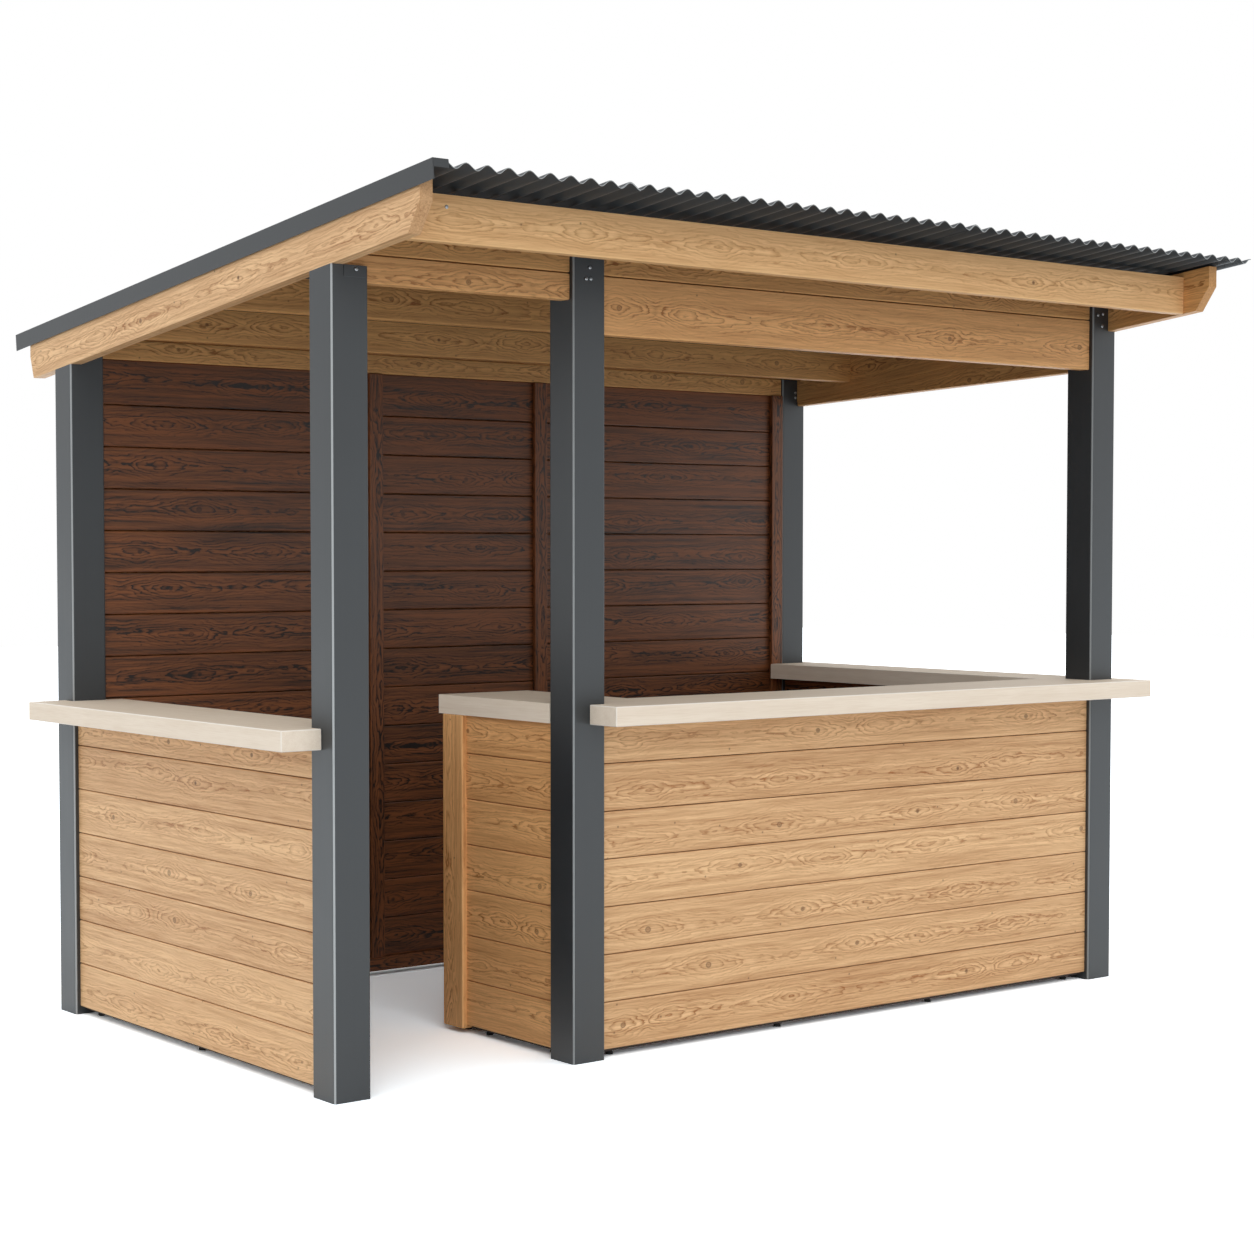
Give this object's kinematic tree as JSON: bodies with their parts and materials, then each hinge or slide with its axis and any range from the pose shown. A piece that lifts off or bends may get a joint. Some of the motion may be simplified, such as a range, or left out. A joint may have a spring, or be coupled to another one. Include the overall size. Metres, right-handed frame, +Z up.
{
  "type": "market stall",
  "caption": "Open market stall with square steel posts, boarded timber counters, pale countertops, a stained back wall and a corrugated mono-pitch roof.",
  "frame": {"origin": "on the ground, under the middle of the overall box", "axes": "+X to the right as seen from the front, +Y from the front to the back wall, +Z up"},
  "size_m": [3.495, 2.5588, 2.5433],
  "materials": {
    "posts": "matt anthracite powder coat on square steel tube",
    "countertop": "pale limed board with a faint grain, satin",
    "light_wood": "light oak-toned boards with growth rings and knots, satin oil",
    "dark_wood": "dark reddish-brown stained boards with visible grain",
    "roof_metal": "anthracite coated corrugated sheet",
    "pads": "black rubber"
  },
  "bodies": {
    "root": {"post_front_left": "posts", "post_entry": "posts", "post_front_right": "posts", "post_back_left": "posts", "post_back_right": "posts", "left_countertop": "countertop", "front_countertop": "countertop", "right_countertop": "countertop", "return_countertop": "countertop", "left_cladding": "light_wood", "front_cladding": "light_wood", "right_cladding": "light_wood", "return_cladding": "light_wood", "back_cladding": "light_wood", "return_end_post": "light_wood", "back_beam": "light_wood", "entry_header": "light_wood", "counter_header": "light_wood", "entry_plate": "light_wood", "counter_plate": "light_wood", "right_gable_board": "light_wood", "purlin_front": "light_wood", "purlin_rear": "light_wood", "left_rake": "light_wood", "right_rake": "light_wood", "front_fascia": "light_wood", "rear_fascia": "light_wood", "left_lining": "dark_wood", "front_lining": "dark_wood", "right_lining": "dark_wood", "return_lining": "dark_wood", "back_lining": "dark_wood", "left_rails": "dark_wood", "front_rails": "dark_wood", "right_rails": "dark_wood", "return_rails": "dark_wood", "back_rails": "dark_wood", "back_plinth": "dark_wood", "back_battens": "dark_wood", "roof_sheet_left": "roof_metal", "roof_sheet_middle": "roof_metal", "roof_sheet_right": "roof_metal", "left_verge_trim": "roof_metal", "left_pads": "pads", "front_pads": "pads", "right_pads": "pads", "return_pads": "pads", "back_pads": "pads"}
  },
  "joints": []
}
